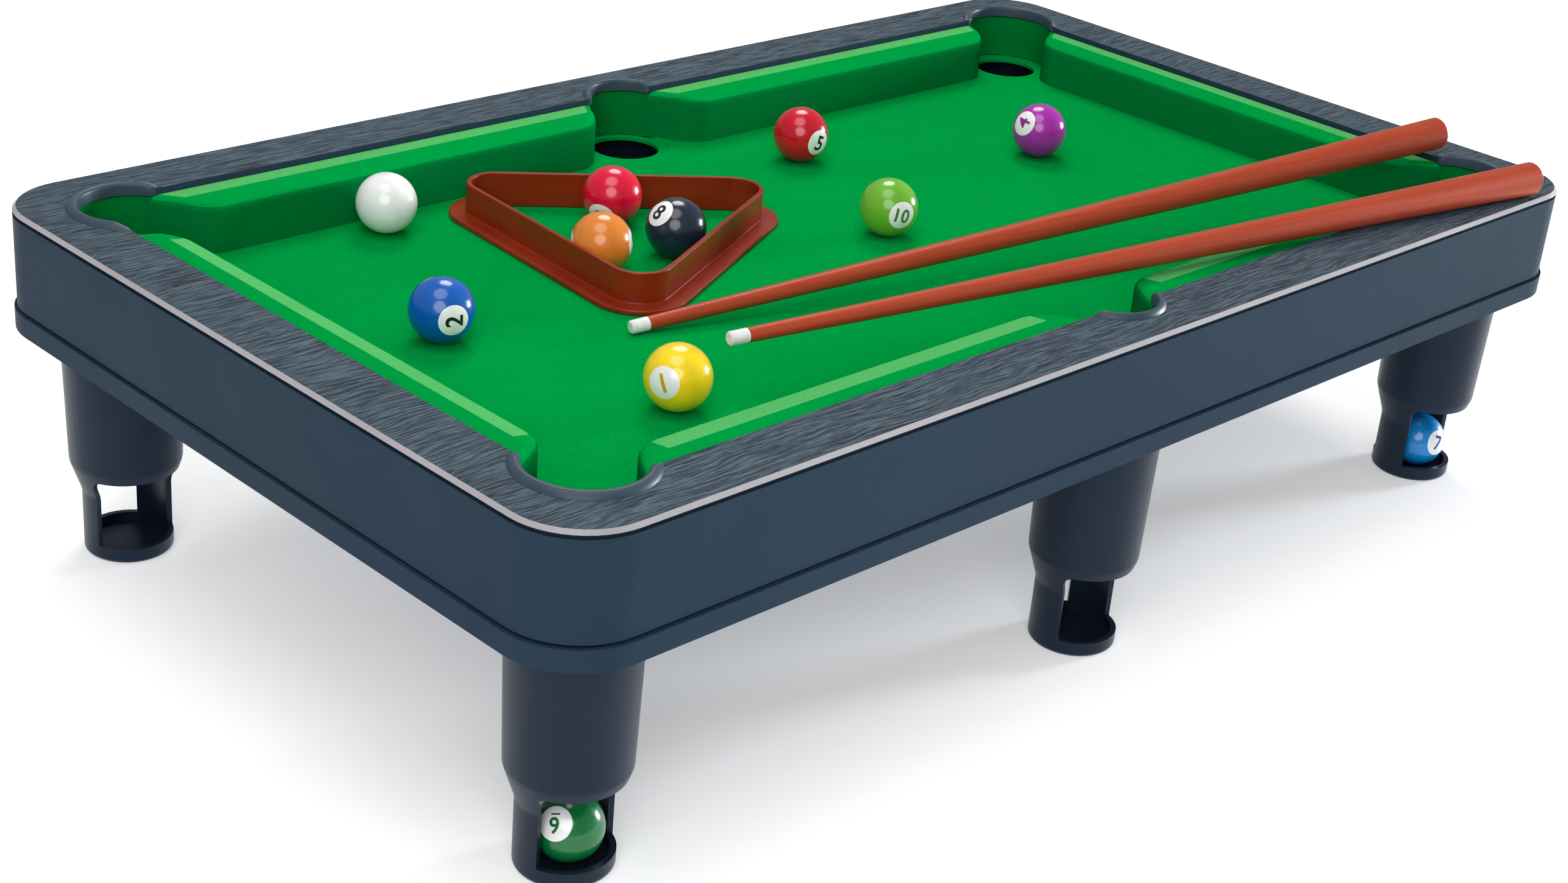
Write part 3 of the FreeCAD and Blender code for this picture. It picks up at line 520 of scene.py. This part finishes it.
def resin(name, shade):
    """Polished resin: a faint cloud in the colour and fine wear in the gloss."""
    made, tree, shader = material(name, Specular_IOR_Level=0.4, Coat_Weight=0.4, Coat_Roughness=0.07)
    cloud = noise(tree, stretched(tree, (160, 160, 160)), 1.0, 3.0)
    deep = tuple(0.88 * value for value in shade)
    tree.links.new(ramp(tree, cloud, (0.3, deep), (0.7, shade)), shader.inputs["Base Color"])
    scuffs = noise(tree, stretched(tree, (900, 900, 900)), 1.0, 4.0)
    tree.links.new(ramp(tree, scuffs, (0.35, 0.16), (0.75, 0.30)), shader.inputs["Roughness"])
    bump(tree, shader, scuffs, 0.01 * MM, 0.35)
    return made


disc_white = resin("disc_white", WHITE)
digit_black = resin("digit_black", BLACK)


def ball(node, shade, number, ink, facing, height, spin, bar=False):
    """A ball whose number disc faces a heading and height, with its digits turned by spin."""
    low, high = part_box(node)
    centre = (low + high) / 2
    radius = (high.z - low.z) / 2
    outer = resin(f"{node}_resin", shade)
    cap = [DISC_REACH * k / CAP_RINGS for k in range(1, CAP_RINGS + 1)]
    waist = [DISC_REACH + (math.pi - 2 * DISC_REACH) * k / WAIST_RINGS for k in range(1, WAIST_RINGS)]
    rings = cap + waist + [math.pi - ring for ring in reversed(cap)]
    shape = bmesh.new()
    loops = []
    for ring in rings:
        loops.append([shape.verts.new((radius * math.sin(ring) * math.cos(2 * math.pi * k / ROUND_STEPS),
                                       radius * math.sin(ring) * math.sin(2 * math.pi * k / ROUND_STEPS),
                                       radius * math.cos(ring)))
                      for k in range(ROUND_STEPS)])
    for upper, lower in zip(loops, loops[1:]):
        for k in range(ROUND_STEPS):
            following = (k + 1) % ROUND_STEPS
            face = shape.faces.new((upper[k], lower[k], lower[following], upper[following]))
            polar = face.calc_center_median().normalized().z
            face.material_index = int(bool(number) and abs(polar) > math.cos(DISC_REACH))
    for pole, loop in ((radius, loops[0]), (-radius, loops[-1])):
        tip = shape.verts.new((0, 0, pole))
        for k in range(ROUND_STEPS):
            face = shape.faces.new((tip, loop[k], loop[(k + 1) % ROUND_STEPS]))
            face.material_index = int(bool(number))
    bmesh.ops.recalc_face_normals(shape, faces=shape.faces)
    mesh = bpy.data.meshes.new(f"{node}_cast")
    shape.to_mesh(mesh)
    shape.free()
    mesh.shade_smooth()
    mesh.materials.append(outer)
    mesh.materials.append(disc_white)
    cast = bpy.data.objects.new(f"{node}_cast", mesh)
    bpy.context.scene.collection.objects.link(cast)
    axis = Vector((math.cos(height) * math.cos(facing), math.cos(height) * math.sin(facing),
                   math.sin(height)))
    top = (Vector((0, 0, 1)) - axis * axis.z).normalized()
    side = top.cross(axis)
    upright = Matrix((side, top, axis)).transposed().to_4x4()
    turned = upright @ Matrix.Rotation(spin, 4, "Z")
    mesh.transform(turned)
    cast.matrix_world = Matrix.Translation(centre)
    finished(cast, node)
    if not number:
        return
    text = bpy.data.curves.new(f"{node}_text", "FONT")
    text.body = number
    text.size = 1.0
    text.extrude = 0.02
    text.offset = STROKE_WEIGHT
    text.resolution_u = 6
    written = bpy.data.objects.new(f"{node}_text", text)
    bpy.context.scene.collection.objects.link(written)
    bpy.context.view_layer.update()
    set_type = written.evaluated_get(bpy.context.evaluated_depsgraph_get())
    digits = bmesh.new()
    digits.from_mesh(bpy.data.meshes.new_from_object(set_type))
    bpy.data.objects.remove(written)
    if bar:
        for vertex in bmesh.ops.create_cube(digits, size=1.0)["verts"]:
            vertex.co = Vector((BAR_MIDDLE[0] + vertex.co.x * BAR_SIZE[0],
                                BAR_MIDDLE[1] + vertex.co.y * BAR_SIZE[1], vertex.co.z * BAR_SIZE[2]))
    spots = [vertex.co for vertex in digits.verts]
    mid_x = (min(s.x for s in spots) + max(s.x for s in spots)) / 2
    mid_y = (min(s.y for s in spots) + max(s.y for s in spots)) / 2
    tall = max(s.y for s in spots) - min(s.y for s in spots)
    wide = max(s.x for s in spots) - min(s.x for s in spots)
    scale = min(DIGIT_HEIGHT / tall, DIGIT_WIDTH / wide)
    bmesh.ops.remove_doubles(digits, verts=digits.verts, dist=1e-5)
    bmesh.ops.triangulate(digits, faces=digits.faces)
    for _ in range(5):
        long_edges = [edge for edge in digits.edges if edge.calc_length() * scale > LONGEST_EDGE]
        if not long_edges:
            break
        bmesh.ops.subdivide_edges(digits, edges=long_edges, cuts=1)
        bmesh.ops.triangulate(digits, faces=digits.faces)
    other = bmesh.new()
    copy = bpy.data.meshes.new("digits")
    digits.to_mesh(copy)
    other.from_mesh(copy)
    other.from_mesh(copy)
    half = len(other.verts) // 2
    other.verts.ensure_lookup_table()
    for index, vertex in enumerate(other.verts):
        x, y = (vertex.co.x - mid_x) * scale, (vertex.co.y - mid_y) * scale
        reach = radius + (DIGIT_RISE if vertex.co.z > 0 else -DIGIT_SINK)
        direction = Vector((x, y, math.sqrt(radius ** 2 - x * x - y * y))).normalized()
        if index >= half:
            direction = Vector((direction.x, -direction.y, -direction.z))
        vertex.co = direction * reach
    bmesh.ops.recalc_face_normals(other, faces=other.faces)
    mesh = bpy.data.meshes.new(f"{node}_digits")
    other.to_mesh(mesh)
    other.free()
    digits.free()
    mesh.materials.append(ink)
    mesh.transform(turned)
    inlay = bpy.data.objects.new(f"{node}_digits", mesh)
    bpy.context.scene.collection.objects.link(inlay)
    inlay.matrix_world = cast.matrix_world
    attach(inlay, BODIES[node])


BALLS = {
    # node: colour, number, heading, height and spin of its disc in degrees
    "cue_ball": ((0.90, 0.90, 0.90), "", 0, 0, 0),
    "ball_1": ((1.0, 0.72, 0.010), "1", -158.7, 10.4, 24.7),
    "ball_2": ((0.002, 0.105, 0.480), "2", -105.0, 1.8, 88.6),
    "ball_3": ((0.80, 0.240, 0.030), "3", 138.4, -4.7, 0.0),
    "ball_4": ((0.40, 0.022, 0.400), "4", 173.8, 25.7, 86.3),
    "ball_5": ((0.62, 0.003, 0.020), "5", -90.5, -3.0, -19.6),
    "ball_6": ((0.76, 0.003, 0.040), "6", -155.2, -29.1, -149.1),
    "ball_7": ((0.004, 0.230, 0.640), "7", -98.3, 12.7, -20.1),
    "ball_8": ((0.010, 0.022, 0.045), "8", 173.5, 42.7, -3.9),
    "ball_9": ((0.002, 0.160, 0.040), "9", -158.4, 33.4, 17.7),
    "ball_10": ((0.165, 0.480, 0.032), "10", -108.1, 2.2, -12.0),
}
INKS = {"ball_1": (0.62, 0.40, 0.008), "ball_4": (0.34, 0.01, 0.30), "ball_6": (0.5, 0.004, 0.02),
        "ball_7": (0.01, 0.05, 0.35), "ball_9": (0.002, 0.14, 0.035), "ball_10": (0.06, 0.24, 0.03)}
for node, (shade, number, facing, height, spin) in BALLS.items():
    ink = resin(f"{node}_ink", INKS[node]) if node in INKS else digit_black
    ball(node, shade, number, ink, math.radians(facing), math.radians(height), math.radians(spin),
         bar=node == "ball_9")

# ---------------------------------------------------------------- rack
# A loose three-sided rack of red-brown plastic with rounded corners.
# It is moulded in one with a flange along its foot, and stands on the bed.
red_brown, tree, shader = material("rack_red_brown", Specular_IOR_Level=0.2,
                                   Coat_Weight=0.08, Coat_Roughness=0.2)
flow = noise(tree, stretched(tree, (40, 40, 160)), 1.0, 4.0)
tree.links.new(ramp(tree, flow, (0.3, (0.200, 0.017, 0.004)), (0.7, (0.270, 0.026, 0.006))),
               shader.inputs["Base Color"])
tree.links.new(ramp(tree, flow, (0.3, 0.24), (0.7, 0.36)), shader.inputs["Roughness"])
bump(tree, shader, noise(tree, stretched(tree, (1500, 1500, 1500)), 1.0, 2.0), 0.02 * MM, 0.4)
softened("rack", "rack_moulding", 0.35 * MM, red_brown, segments=3)

# ---------------------------------------------------------------- cues
# Two tapered sticks in red-brown lacquer lie across the cushions.
# Each has a white ferrule pressed on its thin end and a white matt tip glued to that.
CUE_TURNS = {"cue_a": math.radians(12.0), "cue_b": math.radians(10.38)}
ferrule_white, tree, shader = material("ferrule_white", Specular_IOR_Level=0.5)
cloud = noise(tree, stretched(tree, (700, 700, 700)), 1.0, 3.0)
tree.links.new(ramp(tree, cloud, (0.3, 0.74), (0.7, 0.84)), shader.inputs["Base Color"])
tree.links.new(ramp(tree, cloud, (0.3, 0.3), (0.7, 0.42)), shader.inputs["Roughness"])
tip_white, tree, shader = material("tip_white", Specular_IOR_Level=0.3)
chalk = noise(tree, stretched(tree, (2200, 2200, 2200)), 1.0, 4.0)
tree.links.new(ramp(tree, chalk, (0.3, 0.66), (0.7, 0.80)), shader.inputs["Base Color"])
tree.links.new(ramp(tree, chalk, (0.3, 0.7), (0.7, 0.85)), shader.inputs["Roughness"])
bump(tree, shader, chalk, 0.05 * MM, 0.6)
for cue, turn in CUE_TURNS.items():
    lacquer, tree, shader = material(f"{cue}_lacquer", Specular_IOR_Level=0.25,
                                     Coat_Weight=0.05, Coat_Roughness=0.3)
    grain = noise(tree, stretched(tree, (25, 900, 900), turn), 1.0, 4.0, 0.6)
    tree.links.new(ramp(tree, grain, (0.3, (0.36, 0.044, 0.014)), (0.7, (0.46, 0.060, 0.019))),
                   shader.inputs["Base Color"])
    dust = noise(tree, stretched(tree, (1600, 1600, 1600)), 1.0, 3.0)
    tree.links.new(ramp(tree, dust, (0.3, 0.34), (0.75, 0.52)), shader.inputs["Roughness"])
    bump(tree, shader, grain, 0.02 * MM, 0.4)
    softened(f"{cue}_shaft", f"{cue}_stick", 0.1 * MM, lacquer)
    softened(f"{cue}_ferrule", f"{cue}_collar", 0.08 * MM, ferrule_white)
    softened(f"{cue}_tip", f"{cue}_point", 0.08 * MM, tip_white)
